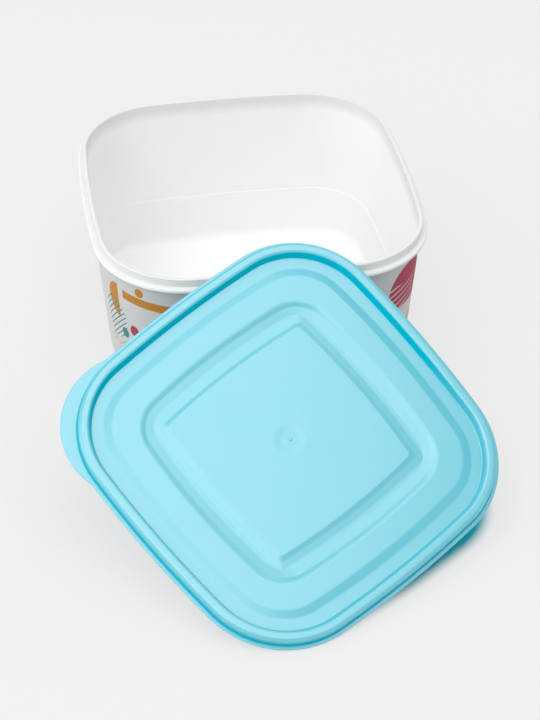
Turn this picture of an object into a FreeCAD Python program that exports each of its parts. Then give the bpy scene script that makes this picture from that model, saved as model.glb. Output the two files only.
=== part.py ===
"""Square food container: a tapered tub and its press-on lid, taken off and leaning on the rim.

Millimetres, +Z up. The origin is the centre of the tub's base, on the surface that it stands on.
The tub's rim is an upright sealing lip above a moulded ledge. The lid carries the matching
parts: a hollow bead that grips the lip, a flange that meets the ledge, a plug wall inside the
lip, and a stepped panel with a square moat round a flat centre pad.
"""

import FreeCAD, Part
import Sketcher
import math
import os
import re

SIZES = {
    # Rim of the tub, measured at the middle of a side, where it is widest.
    "tub_height": 86.0,
    "rim_half_width": 80.0,
    "rim_corner_radius": 41.6,
    "rim_swing": 4.05,
    "lip_height": 4.4,
    "lip_thickness": 1.8,
    "lip_edge_radius": 0.5,
    "ledge_overhang": 2.5,
    "ledge_thickness": 2.7,
    "ledge_top_radius": 0.9,
    "ledge_bottom_radius": 1.2,
    # Walls and floor of the tub.
    "wall_inset": 0.6,
    "wall_thickness": 1.6,
    "base_inset": 7.7,
    "base_corner_radius": 26.5,
    "floor_thickness": 1.8,
    "heel_radius": 3.0,
    "floor_corner_radius": 5.0,
    "inner_step_depth": 56.0,
    "inner_step_width": 0.25,
    # Lid: heights are from the top face of its flange.
    "lid_clearance": 0.2,
    "lid_skin": 1.2,
    "bead_wall": 1.15,
    "bead_height": 5.2,
    "bead_lean": 0.5,
    "bead_outer_radius": 1.9,
    "bead_inner_radius": 1.5,
    "bead_foot_radius": 0.5,
    "channel_width": 2.8,
    "channel_roof_radius": 1.2,
    "flange_width": 1.9,
    "flange_thickness": 1.0,
    "flange_edge_radius": 0.35,
    "panel_height": 1.3,
    "panel_inset": 6.25,
    "panel_wall_lean": 1.3,
    "plug_width": 1.2,
    "step_inset": 11.9,
    "step_run": 4.05,
    "step_rise": 1.0,
    "step_corner_radius": 27.2,
    "step_swing": 6.2,
    "moat_inset": 10.7,
    "moat_corner_radius": 18.0,
    "moat_run": 6.3,
    "moat_bed_corner_radius": 11.0,
    "moat_bed_width": 2.0,
    "moat_depth": 1.6,
    "pad_run": 5.2,
    "pad_corner_radius": 2.0,
    "pad_rise": 1.4,
    "moat_edge_radius": 8.0,
    "step_edge_radius": 4.0,
    "pad_edge_radius": 1.0,
    "gate_ring_radius": 7.6,
    "gate_ring_tube": 3.2,
    "gate_ring_depth": 0.22,
    "gate_nub_radius": 0.7,
    "gate_nub_height": 0.35,
    "tab_corner_radius": 35.0,
    "tab_inset": 0.25,
    "tab_blend_radius": 14.0,
    # How the lid leans: its spin turns a corner down, its heading turns it about the vertical.
    "lid_spin_deg": 28.5,
    "lid_heading_deg": 4.8,
    "lid_sideways": -5.6,
    "lid_overhang": 16.0,
    "rest_gap": 0.05,
    "rim_gap": 0.25,
}


def fill_sheet(doc):
    """Put the driving sizes into the document's spreadsheet, one named cell each."""
    sheet = doc.addObject("Spreadsheet::Sheet", "Sizes")
    for row, (name, value) in enumerate(SIZES.items(), start=1):
        sheet.set("A%d" % row, name)
        sheet.set("B%d" % row, "%g" % value)
        sheet.setAlias("B%d" % row, name)
    doc.recompute()
    return sheet


def evaluate(sheet, expression):
    """Value of a formula over the named sizes, as a plain number."""
    value = sheet.evalExpression(expression)
    return float(getattr(value, "Value", value))


class Outline:
    """A rounded square with bowed sides, as formulas over the named sizes.

    Each side is an arc that swings by the same few degrees either way of its middle, and the
    corner arcs meet the sides tangentially. Outlines of one swing loft into smooth walls.
    """

    def __init__(self, half_width, corner_radius, swing):
        self.half_width = half_width
        self.corner_radius = corner_radius
        self.swing = swing

    def offset(self, distance):
        """The parallel outline that lies the given distance (a formula) further out."""
        half_width = "(%s) + (%s)" % (self.half_width, distance)
        corner_radius = "(%s) + (%s)" % (self.corner_radius, distance)
        return Outline(half_width, corner_radius, self.swing)

    def inner(self, inset, corner_radius, swing):
        """An outline of its own shape, further in by the inset at the middle of each side."""
        return Outline("(%s) - (%s)" % (self.half_width, inset), corner_radius, swing)

    def toward(self, other, share):
        """The outline that lies a share of the way from this one to another."""
        half_width = between(self.half_width, other.half_width, share)
        corner_radius = between(self.corner_radius, other.corner_radius, share)
        return Outline(half_width, corner_radius, self.swing)

    def side_radius(self):
        """Radius of the side arcs, from the half width, the corner radius and the swing."""
        flat = "(cos(%s) - sin(%s))" % (self.swing, self.swing)
        return "((%s) - (%s) * %s) / (1 - %s)" % (self.half_width, self.corner_radius, flat, flat)

    def bound(self):
        """Half width, corner radius and side radius, with each named size as its cell."""
        return [refer(part) for part in (self.half_width, self.corner_radius, self.side_radius())]


def between(start, end, share):
    """Formula for the value that lies a share of the way from one formula to another."""
    return "(%s) + ((%s) - (%s)) * (%s)" % (start, end, start, share)


def refer(formula):
    """Write each named size of a formula as a reference to the sheet's cell."""
    return re.sub(r"[a-z_]+", lambda word: cell(word.group()), formula)


def cell(word):
    """The sheet's cell for a named size; any other word, such as cos, stays as it is."""
    return "Sizes." + word if word in SIZES else word


def plane(body, role):
    """One of the body's own origin planes, found by its role."""
    for feature in body.Origin.OriginFeatures:
        if feature.Role == role:
            return feature
    raise ValueError("no origin plane named " + role)


def new_sketch(body, name, height):
    """An empty sketch on the body's XY plane, raised to the height that a formula gives."""
    sketch = body.newObject("Sketcher::SketchObject", name)
    sketch.AttachmentSupport = [(plane(body, "XY_Plane"), "")]
    sketch.MapMode = "FlatFace"
    sketch.setExpression("AttachmentOffset.Base.z", refer(height))
    return sketch


def corner_centre(half_width, corner_radius, side_radius):
    """Distance of a corner arc's centre from each axis, for arcs that meet tangentially."""
    centre_offset = half_width - side_radius
    reach = side_radius - corner_radius
    return (centre_offset + math.sqrt(2 * reach**2 - centre_offset**2)) / 2


def draw_outline(sketch, sheet, outline):
    """Draw one closed outline of eight tangent arcs and bind its three sizes."""
    sizes = [evaluate(sheet, formula) for formula in outline.bound()]
    half_width, corner_radius, side_radius = sizes
    centre = corner_centre(*sizes)
    swing = math.atan2(centre, centre - half_width + side_radius)
    normal = FreeCAD.Vector(0, 0, 1)
    first = sketch.GeometryCount
    for quarter in range(4):
        turn = FreeCAD.Rotation(normal, 90 * quarter)
        base = math.radians(90 * quarter)
        side_centre = turn.multVec(FreeCAD.Vector(half_width - side_radius, 0, 0))
        side = Part.Circle(side_centre, normal, side_radius)
        sketch.addGeometry(Part.ArcOfCircle(side, base - swing, base + swing))
        corner = Part.Circle(turn.multVec(FreeCAD.Vector(centre, centre, 0)), normal, corner_radius)
        sketch.addGeometry(Part.ArcOfCircle(corner, base + swing, base + math.pi / 2 - swing))
    for arc in range(8):
        sketch.addConstraint(
            Sketcher.Constraint("Tangent", first + arc, 2, first + (arc + 1) % 8, 1)
        )
    for quarter in range(4):
        # The centres of two sides lie on the X axis and those of the others on the Y axis.
        sketch.addConstraint(
            Sketcher.Constraint("PointOnObject", first + 2 * quarter, 3, -1 - quarter % 2)
        )
    for quarter in range(1, 4):
        sketch.addConstraint(Sketcher.Constraint("Equal", first, first + 2 * quarter))
        sketch.addConstraint(Sketcher.Constraint("Equal", first + 1, first + 1 + 2 * quarter))
    half_formula, corner_formula, side_formula = outline.bound()
    bind(sketch, Sketcher.Constraint("Radius", first, side_radius), side_formula)
    bind(sketch, Sketcher.Constraint("Radius", first + 1, corner_radius), corner_formula)
    setback = side_radius - half_width
    setback_formula = "(%s) - (%s)" % (side_formula, half_formula)
    for quarter, kind in enumerate(("DistanceX", "DistanceY", "DistanceX", "DistanceY")):
        arc = first + 2 * quarter
        ends = (arc, 3, -1, 1) if quarter < 2 else (-1, 1, arc, 3)
        bind(sketch, Sketcher.Constraint(kind, *ends, setback), setback_formula)


def bind(sketch, constraint, formula):
    """Add a dimension to a sketch and let a formula drive it."""
    index = sketch.addConstraint(constraint)
    sketch.setExpression("Constraints[%d]" % index, formula)


def outline_sketch(body, sheet, name, height, *outlines):
    """A sketch that holds one outline, or two for a ring."""
    sketch = new_sketch(body, name, height)
    for outline in outlines:
        draw_outline(sketch, sheet, outline)
    return sketch


def loft(body, sheet, kind, name, lower, upper):
    """Loft between two (height, outline) levels: kind is AdditiveLoft or SubtractiveLoft."""
    levels = []
    for end, (height, outline) in (("lower", lower), ("upper", upper)):
        levels.append(outline_sketch(body, sheet, name + "_" + end, height, outline))
    feature = body.newObject("PartDesign::" + kind, name)
    feature.Profile = levels[0]
    feature.Sections = [levels[1]]
    feature.Ruled = True
    return feature


def pad(body, sheet, name, height, outline, length):
    """Pad one outline upward by the length that a formula gives."""
    feature = body.newObject("PartDesign::Pad", name)
    feature.Profile = outline_sketch(body, sheet, name + "_outline", height, outline)
    feature.setExpression("Length", refer(length))
    return feature


def pocket_up(body, sheet, name, height, outlines, length):
    """Cut upward from a height, inside one outline or between two."""
    feature = body.newObject("PartDesign::Pocket", name)
    feature.Profile = outline_sketch(body, sheet, name + "_outline", height, *outlines)
    feature.Reversed = True
    feature.setExpression("Length", refer(length))
    return feature


def fillet(body, name, edges, radius):
    """Round the named edges of the body's last feature."""
    base = body.Tip
    feature = body.newObject("PartDesign::Fillet", name)
    feature.Base = (base, edges)
    feature.setExpression("Radius", refer(radius))
    body.Document.recompute()
    return feature


def edges_at(shape, height, half_width):
    """Names of the edges that lie flat at a height and cross the middle of a side at a width."""
    wanted = []
    near = 0.02
    for number, edge in enumerate(shape.Edges, start=1):
        box = edge.BoundBox
        if abs(box.ZMin - height) > near or abs(box.ZMax - height) > near:
            continue
        wanted.append((number, edge))
    chains = Part.sortEdges([edge for _, edge in wanted])
    names = []
    for chain in chains:
        reach = max(edge.BoundBox.XMax for edge in chain)
        if abs(reach - half_width) < near:
            for number, edge in wanted:
                if any(edge.isSame(member) for member in chain):
                    names.append("Edge%d" % number)
    if not names:
        raise ValueError("no edge at height %g and half width %g" % (height, half_width))
    return names


def round_edges(body, sheet, name, height, outline, radius):
    """Round the ring of edges where an outline lies at a height."""
    body.Document.recompute()
    at = evaluate(sheet, refer(height))
    reach = evaluate(sheet, outline.bound()[0])
    return fillet(body, name, edges_at(body.Tip.Shape, at, reach), radius)


def build_tub(doc, sheet):
    """The tub: tapered walls, floor, ledge and sealing lip, with a fine step inside."""
    body = doc.addObject("PartDesign::Body", "Tub")
    body.Label = "tub"
    rim = Outline("rim_half_width", "rim_corner_radius", "rim_swing")
    base = Outline("rim_half_width - base_inset", "base_corner_radius", "rim_swing")
    wall_top = rim.offset("0 - wall_inset")
    ledge = rim.offset("ledge_overhang")
    ledge_top = "tub_height - lip_height"
    ledge_bottom = "tub_height - lip_height - ledge_thickness"

    loft(body, sheet, "AdditiveLoft", "Walls", ("0", base), (ledge_bottom, wall_top))
    pad(body, sheet, "Ledge", ledge_bottom, ledge, "ledge_thickness")
    pad(body, sheet, "Lip", ledge_top, rim, "lip_height")

    # The inside follows the outer wall at the wall's thickness, at any height of the taper.
    step_height = "tub_height - inner_step_depth"
    at_step = base.toward(wall_top, "(%s) / (%s)" % (step_height, ledge_bottom))
    above_step = at_step.offset("0 - wall_thickness")
    below_step = above_step.offset("0 - inner_step_width")
    floor = base.offset("0 - wall_thickness")
    mouth = rim.offset("0 - lip_thickness")
    loft(body, sheet, "SubtractiveLoft", "Hollow_above_step",
         (step_height, above_step), ("tub_height", mouth))
    loft(body, sheet, "SubtractiveLoft", "Hollow_below_step",
         ("floor_thickness", floor), (step_height, below_step))

    round_edges(body, sheet, "Heel", "0", base, "heel_radius")
    round_edges(body, sheet, "Floor_corner", "floor_thickness", floor, "floor_corner_radius")
    round_edges(body, sheet, "Ledge_lower_edge", ledge_bottom, ledge, "ledge_bottom_radius")
    round_edges(body, sheet, "Ledge_upper_edge", ledge_top, ledge, "ledge_top_radius")
    round_edges(body, sheet, "Lip_outer_edge", "tub_height", rim, "lip_edge_radius")
    round_edges(body, sheet, "Lip_inner_edge", "tub_height", mouth, "lip_edge_radius")
    return body


def build_lid(doc, sheet):
    """The lid: flange, pull tab, hollow bead, plug wall and stepped panel, all one skin."""
    body = doc.addObject("PartDesign::Body", "Lid")
    body.Label = "lid"
    rim = Outline("rim_half_width", "rim_corner_radius", "rim_swing")
    channel_outer = rim.offset("lid_clearance")
    channel_inner = channel_outer.offset("0 - channel_width")
    bead = channel_outer.offset("bead_wall")
    bead_top = bead.offset("0 - bead_lean")
    flange = bead.offset("flange_width")
    panel = bead.offset("0 - panel_inset")
    panel_top = panel.offset("panel_wall_lean")
    plug = panel.offset("0 - plug_width")
    step_foot = bead.inner("step_inset", "step_corner_radius", "step_swing")
    step_top = step_foot.offset("0 - step_run")
    moat = step_top.inner("moat_inset", "moat_corner_radius", "step_swing")
    moat_bed = moat.inner("moat_run", "moat_bed_corner_radius", "step_swing")
    pad_foot = moat_bed.inner("moat_bed_width", "pad_corner_radius", "step_swing")
    pad_top = pad_foot.inner("pad_run", "pad_corner_radius", "step_swing")
    field = "panel_height + step_rise"
    bed = "panel_height + step_rise - moat_depth"
    crown = "panel_height + step_rise - moat_depth + pad_rise"
    underside = "0 - flange_thickness"

    # Flange with its pull tab, and the bead as a solid block.
    pad(body, sheet, "Flange", underside, flange, "flange_thickness")
    pull_tab(body, sheet, underside, flange)
    round_edges(body, sheet, "Flange_upper_edge", "0", flange, "flange_edge_radius")
    round_edges(body, sheet, "Flange_lower_edge", underside, flange, "flange_edge_radius")
    loft(body, sheet, "AdditiveLoft", "Bead", ("0", bead), ("bead_height", bead_top))
    loft(body, sheet, "SubtractiveLoft", "Panel_recess",
         ("panel_height", panel), ("bead_height", panel_top))
    loft(body, sheet, "AdditiveLoft", "Step", ("panel_height", step_foot), (field, step_top))

    # Underside of the panel, one skin below its top.
    pocket_up(body, sheet, "Plug_hollow", underside, [plug],
              "flange_thickness + panel_height - lid_skin")
    loft(body, sheet, "SubtractiveLoft", "Step_hollow",
         ("panel_height - lid_skin", step_foot), (field + " - lid_skin", step_top))
    loft(body, sheet, "AdditiveLoft", "Moat_underside",
         (bed + " - lid_skin", moat_bed), (field + " - lid_skin", moat))
    loft(body, sheet, "SubtractiveLoft", "Moat", (bed, moat_bed), (field, moat))
    loft(body, sheet, "AdditiveLoft", "Centre_pad", (bed, pad_foot), (crown, pad_top))
    loft(body, sheet, "SubtractiveLoft", "Pad_hollow",
         (bed + " - lid_skin", pad_foot), (crown + " - lid_skin", pad_top))
    gate_mark(body, sheet, crown)

    # The channel that takes the tub's lip.
    pocket_up(body, sheet, "Lip_channel", underside, [channel_outer, channel_inner],
              "flange_thickness + bead_height - lid_skin")

    roof = "bead_height - lid_skin"
    round_edges(body, sheet, "Bead_outer_edge", "bead_height", bead_top, "bead_outer_radius")
    round_edges(body, sheet, "Bead_inner_edge", "bead_height", panel_top, "bead_inner_radius")
    round_edges(body, sheet, "Channel_roof_outer", roof, channel_outer, "channel_roof_radius")
    round_edges(body, sheet, "Panel_foot", "panel_height", panel, "bead_foot_radius")
    round_edges(body, sheet, "Moat_outer_edge", field, moat, "moat_edge_radius")
    round_edges(body, sheet, "Step_upper_edge", field, step_top, "step_edge_radius")
    round_edges(body, sheet, "Step_foot_edge", "panel_height", step_foot, "step_edge_radius")
    round_edges(body, sheet, "Pad_upper_edge", crown, pad_top, "pad_edge_radius")
    return body


def pull_tab(body, sheet, height, flange):
    """A crescent of flange past one corner, where a fingertip lifts the lid."""
    radius_formula = refer("tab_corner_radius")
    centre_formula = refer("(%s) - tab_inset - tab_corner_radius" % flange.half_width)
    radius = evaluate(sheet, radius_formula)
    centre = evaluate(sheet, centre_formula)
    sketch = new_sketch(body, "Pull_tab_outline", height)
    circle = Part.Circle(FreeCAD.Vector(-centre, centre, 0), FreeCAD.Vector(0, 0, 1), radius)
    sketch.addGeometry(circle)
    bind(sketch, Sketcher.Constraint("Radius", 0, radius), radius_formula)
    bind(sketch, Sketcher.Constraint("DistanceX", 0, 3, -1, 1, centre), centre_formula)
    bind(sketch, Sketcher.Constraint("DistanceY", -1, 1, 0, 3, centre), centre_formula)
    feature = body.newObject("PartDesign::Pad", "Pull_tab")
    feature.Profile = sketch
    feature.setExpression("Length", refer("flange_thickness"))
    body.Document.recompute()
    ends = upright_edges(body.Tip.Shape, -centre, centre, radius)
    fillet(body, "Pull_tab_blend", ends, "tab_blend_radius")


def upright_edges(shape, x, y, radius):
    """Names of the upright edges that stand on a circle round an upright line."""
    names = []
    near = 0.02
    for number, edge in enumerate(shape.Edges, start=1):
        box = edge.BoundBox
        upright = box.ZLength > box.XLength + box.YLength
        away = math.hypot(box.Center.x - x, box.Center.y - y)
        if upright and abs(away - radius) < near:
            names.append("Edge%d" % number)
    return names


def gate_mark(body, sheet, height):
    """The moulding gate's mark: a shallow round dish with a small nub in the middle."""
    ring = body.newObject("PartDesign::SubtractiveCone", "Gate_dish")
    ring.AttachmentSupport = [(plane(body, "XY_Plane"), "")]
    ring.MapMode = "FlatFace"
    ring.setExpression("AttachmentOffset.Base.z", refer(height + " - gate_ring_depth"))
    ring.setExpression("Radius1", refer("gate_ring_radius - gate_ring_tube"))
    ring.setExpression("Radius2", refer("gate_ring_radius"))
    ring.setExpression("Height", refer("gate_ring_depth"))
    nub = body.newObject("PartDesign::AdditiveCylinder", "Gate_nub")
    nub.AttachmentSupport = [(plane(body, "XY_Plane"), "")]
    nub.MapMode = "FlatFace"
    nub.setExpression("AttachmentOffset.Base.z", refer(height + " - gate_ring_depth"))
    nub.setExpression("Radius", refer("gate_nub_radius"))
    nub.setExpression("Height", refer("gate_nub_height"))


def flange_reach(sheet):
    """Distance between the lid's lowest and highest flange edges, measured up its slope."""
    bead = "rim_half_width + lid_clearance + bead_wall + flange_width"
    half_width = evaluate(sheet, refer(bead))
    corner_radius = SIZES["rim_corner_radius"] + half_width - SIZES["rim_half_width"]
    swing = math.radians(SIZES["rim_swing"])
    flat = math.cos(swing) - math.sin(swing)
    side_radius = (half_width - corner_radius * flat) / (1 - flat)
    centre = corner_centre(half_width, corner_radius, side_radius)
    upward = math.radians(90 - SIZES["lid_spin_deg"])
    return 2 * (centre * (math.cos(upward) + math.sin(upward)) + corner_radius)


def lean_lid(lid, tub, sheet):
    """Stand the lid on one corner and lean it on the tub's rim, with a hair of clearance.

    The lean follows from the rim's height and from how far the lid's upper corner reaches past
    the rim. The lid then slides toward the tub until it is rim_gap away from the lip.
    """
    slope = SIZES["tub_height"] / (flange_reach(sheet) - SIZES["lid_overhang"])
    lean = math.degrees(math.asin(slope))
    upright = FreeCAD.Vector(0, 0, 1)
    turn = FreeCAD.Rotation(upright, SIZES["lid_heading_deg"])
    turn = turn.multiply(FreeCAD.Rotation(FreeCAD.Vector(1, 0, 0), lean))
    turn = turn.multiply(FreeCAD.Rotation(upright, SIZES["lid_spin_deg"]))
    near = -SIZES["rim_half_width"]
    far = near - 2 * SIZES["rim_half_width"]
    for _ in range(18):
        middle = (near + far) / 2
        place_lid(lid, turn, middle)
        if lid.Shape.distToShape(tub.Shape)[0] > SIZES["rim_gap"]:
            far = middle
        else:
            near = middle
    place_lid(lid, turn, far)


def place_lid(lid, turn, along):
    """Put the turned lid at a distance along Y, with its lowest corner on the floor."""
    lid.Placement = FreeCAD.Placement(FreeCAD.Vector(SIZES["lid_sideways"], along, 0), turn)
    drop = SIZES["rest_gap"] - lid.Shape.optimalBoundingBox(False, False).ZMin
    lid.Placement.Base = FreeCAD.Vector(SIZES["lid_sideways"], along, drop)


def check(doc, bodies):
    """Stop if any object failed to build or any sub-part isn't one valid solid."""
    for item in doc.Objects:
        if "Invalid" in item.State or "Error" in item.State:
            raise RuntimeError("%s did not build: %s" % (item.Name, item.State))
    for body in bodies:
        shape = body.Shape
        if shape.isNull() or not shape.isValid() or len(shape.Solids) != 1:
            raise RuntimeError("%s is not one valid solid" % body.Label)


def main():
    doc = FreeCAD.newDocument("Container")
    sheet = fill_sheet(doc)
    tub = build_tub(doc, sheet)
    lid = build_lid(doc, sheet)
    doc.recompute()
    check(doc, [tub, lid])
    lean_lid(lid, tub, sheet)
    os.makedirs("parts", exist_ok=True)
    for body in (tub, lid):
        body.Shape.exportStep("parts/%s.step" % body.Label)
        print(body.Label, "volume", round(body.Shape.Volume), "mm3", body.Shape.BoundBox)


main()
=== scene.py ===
"""Looks of a square food container: a printed white tub, and its turquoise lid leaning on the rim.

Each piece is a run of rounded-square outlines, one for each station of the wall's section,
joined into a closed skin. Sections are in millimetres, and the meshes are written in metres.
"""

import logging
import math
from dataclasses import dataclass
from enum import Enum

import bpy
import numpy as np
from mathutils import Matrix, Vector

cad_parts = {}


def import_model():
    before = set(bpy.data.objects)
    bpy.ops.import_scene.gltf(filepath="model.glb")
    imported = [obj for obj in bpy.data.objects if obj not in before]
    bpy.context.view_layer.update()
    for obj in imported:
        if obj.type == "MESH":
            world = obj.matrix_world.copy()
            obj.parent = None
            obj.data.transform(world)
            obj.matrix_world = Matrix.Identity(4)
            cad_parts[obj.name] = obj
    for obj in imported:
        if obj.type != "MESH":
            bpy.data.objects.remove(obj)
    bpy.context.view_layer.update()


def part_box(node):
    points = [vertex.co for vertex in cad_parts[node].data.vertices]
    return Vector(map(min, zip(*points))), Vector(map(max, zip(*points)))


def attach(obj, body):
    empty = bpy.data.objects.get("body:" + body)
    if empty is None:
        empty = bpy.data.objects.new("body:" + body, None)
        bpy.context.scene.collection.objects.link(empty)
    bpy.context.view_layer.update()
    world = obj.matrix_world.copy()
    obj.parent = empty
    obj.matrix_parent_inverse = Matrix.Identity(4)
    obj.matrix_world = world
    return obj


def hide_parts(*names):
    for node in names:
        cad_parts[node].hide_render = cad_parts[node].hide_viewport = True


LOG = logging.getLogger("container")
MM = 0.001


class Sampling(Enum):
    """How finely outlines and rounded corners are divided."""

    SIDE = 16
    CORNER = 40
    ROUND = 7


@dataclass(frozen=True)
class Outline:
    """A rounded square with bowed sides, made of eight tangent arcs.

    Attributes:
        half_width: Distance from the middle to the middle of a side, in mm.
        corner_radius: Radius of the corner arcs, in mm.
        swing: Half the angle of a side's arc, in degrees.
    """

    half_width: float
    corner_radius: float
    swing: float

    def offset(self, distance: float) -> "Outline":
        """The parallel outline further out.

        Args:
            distance: How far out, in mm; negative is further in.

        Returns:
            The parallel outline.
        """
        return Outline(self.half_width + distance, self.corner_radius + distance, self.swing)

    def toward(self, other: "Outline", share: float) -> "Outline":
        """The outline that lies between this one and another of the same swing.

        Args:
            other: The outline at share 1.
            share: 0 for this outline, 1 for the other.

        Returns:
            The outline between them.
        """
        wider = (other.half_width - self.half_width) * share
        rounder = (other.corner_radius - self.corner_radius) * share
        return Outline(self.half_width + wider, self.corner_radius + rounder, self.swing)

    def at(self, height: float, radius: float = 0.0, tab: float = 0.0) -> np.ndarray:
        """A station of a section: this outline at a height.

        Args:
            height: Height in mm.
            radius: Radius that rounds the section's corner here, in mm.
            tab: 1 where the outline takes the pull tab, else 0.

        Returns:
            Half width, corner radius, swing, height, tab share and rounding radius.
        """
        values = (self.half_width, self.corner_radius, self.swing, height, tab, radius)
        return np.array(values, dtype=float)


def circle_at(radius: float, height: float, swing: float, rounding: float = 0.0) -> np.ndarray:
    """A station whose outline is a circle.

    Args:
        radius: The circle's radius, in mm.
        height: Height in mm.
        swing: Swing of the outlines that it joins, in degrees.
        rounding: Radius that rounds the section's corner here, in mm.

    Returns:
        The station.
    """
    return Outline(radius, radius, swing).at(height, rounding)


def side_and_centre(stations: np.ndarray) -> tuple[np.ndarray, np.ndarray]:
    """Side radius and corner centre of each station's outline.

    Args:
        stations: Rows of stations.

    Returns:
        The side arcs' radii, and the distances of the corner arcs' centres from each axis.
    """
    swing = np.radians(stations[:, 2])
    flat = np.cos(swing) - np.sin(swing)
    side = (stations[:, 0] - stations[:, 1] * flat) / (1.0 - flat)
    return side, (side - stations[:, 1]) * np.sin(swing)


def arc_points(centre: np.ndarray, radius: np.ndarray, angle: np.ndarray) -> np.ndarray:
    """Points on arcs, one row of angles for each arc.

    Args:
        centre: Arc centres, of shape (m, 2).
        radius: Arc radii, of shape (m,).
        angle: Angles in radians, of shape (m, n).

    Returns:
        Points of shape (m, n, 2): centre plus radius times (cos, sin) of the angle.
    """
    direction = np.stack((np.cos(angle), np.sin(angle)), axis=2)
    return centre[:, None, :] + radius[:, None, None] * direction


def spread(start: np.ndarray, end: np.ndarray, count: int) -> np.ndarray:
    """Evenly spaced angles from start to end, with the end left out.

    Args:
        start: First angle of each row.
        end: Last angle of each row.
        count: How many angles a row has.

    Returns:
        An array of shape (m, count).
    """
    share = np.arange(count) / count
    return start[:, None] + (end - start)[:, None] * share[None, :]


def quarter(stations: np.ndarray, start: np.ndarray, end: np.ndarray) -> np.ndarray:
    """Points of one side's arc and the corner arc after it, before the turn into place.

    The side's arc is W - S + S cos a, S sin a, and the corner's is c + R cos a, c + R sin a.

    Args:
        stations: Rows of stations.
        start: Angle where the side's arc starts, in radians.
        end: Angle where it ends.

    Returns:
        Points of shape (m, side + corner samples, 2).
    """
    side, centre = side_and_centre(stations)
    axis = np.stack((stations[:, 0] - side, np.zeros_like(side)), axis=1)
    swing = np.radians(stations[:, 2])
    along = arc_points(axis, side, spread(start, end, Sampling.SIDE.value))
    bend = spread(swing, math.pi / 2 - swing, Sampling.CORNER.value)
    around = arc_points(np.stack((centre, centre), axis=1), stations[:, 1], bend)
    return np.concatenate((along, around), axis=1)


def turned(points: np.ndarray, quarters: int) -> np.ndarray:
    """Plane points turned by a number of right angles.

    Args:
        points: Points of shape (m, n, 2).
        quarters: How many right angles.

    Returns:
        The turned points.
    """
    c, s = round(math.cos(quarters * math.pi / 2)), round(math.sin(quarters * math.pi / 2))
    return points @ np.array([[c, s], [-s, c]], dtype=float)


@dataclass(frozen=True)
class PullTab:
    """A crescent of flange past one corner.

    Attributes:
        flange_half_width: Half width of the flange that it grows from, in mm.
        inset: How much less the tab reaches along each axis than the flange, in mm.
        radius: Radius of the tab, in mm.
        blend: Radius of the hollow curve where it runs into the side, in mm.
    """

    flange_half_width: float
    inset: float
    radius: float
    blend: float

    def corner(self, stations: np.ndarray) -> tuple[np.ndarray, np.ndarray]:
        """Points of the tab's corner, and the angle where the side gives way to it.

        The hollow arc touches the side's arc and the tab's circle, so its centre is where two
        circles cross: S + b about the side's centre, and r + b about the tab's.

        Args:
            stations: Rows of stations on the flange's outline.

        Returns:
            Points of shape (m, corner samples, 2) for the corner after the +X side, and the
            side's last angle of shape (m,).
        """
        inward = self.flange_half_width - stations[:, 0]
        radius = self.radius - inward
        blend = self.blend + inward
        side, _ = side_and_centre(stations)
        reach = self.flange_half_width - self.inset - self.radius
        tab = np.tile((reach, reach), (len(stations), 1)).astype(float)
        axis = np.stack((stations[:, 0] - side, np.zeros_like(side)), axis=1)
        gap = axis - tab
        apart = np.linalg.norm(gap, axis=1)
        unit = gap / apart[:, None]
        along = ((radius + blend) ** 2 - (side + blend) ** 2 + apart**2) / (2 * apart)
        across = np.sqrt((radius + blend) ** 2 - along**2)
        square = np.stack((-unit[:, 1], unit[:, 0]), axis=1)
        hollow = tab + along[:, None] * unit + across[:, None] * square
        low = hollow - axis
        last = np.arctan2(low[:, 1], low[:, 0])
        to_tab = hollow - tab
        meet = np.arctan2(to_tab[:, 1], to_tab[:, 0])
        count = Sampling.CORNER.value // 5
        first = arc_points(hollow, blend, spread(last + math.pi, meet + math.pi, count))
        crest = arc_points(tab, radius, spread(meet, math.pi / 2 - meet, 3 * count))
        mirrored = arc_points(
            hollow[:, ::-1],
            blend,
            spread(-math.pi / 2 - meet, -math.pi / 2 - last, count),
        )
        return np.concatenate((first, crest, mirrored), axis=1), last


def rings(stations: np.ndarray, tab: PullTab | None = None) -> np.ndarray:
    """The outlines of all stations as rings of points.

    Args:
        stations: Rows of stations.
        tab: The pull tab that stations with a tab share take on their second corner.

    Returns:
        Points of shape (m, n, 3) in mm.
    """
    swing = np.radians(stations[:, 2])
    parts = [turned(quarter(stations, -swing, swing), turn) for turn in range(4)]
    plain = np.concatenate(parts, axis=1)
    if tab is not None and np.any(stations[:, 4] > 0):
        corner, last = tab.corner(stations)
        before = quarter(stations, -swing, last)
        after = quarter(stations, -last, swing)
        before[:, Sampling.SIDE.value :] = corner
        parts[1] = turned(before, 1)
        parts[2] = turned(after, 2)
        share = stations[:, 4][:, None, None]
        plain = plain + share * (np.concatenate(parts, axis=1) - plain)
    heights = np.repeat(stations[:, 3][:, None], plain.shape[1], axis=1)
    return np.concatenate((plain, heights[:, :, None]), axis=2)


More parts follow.
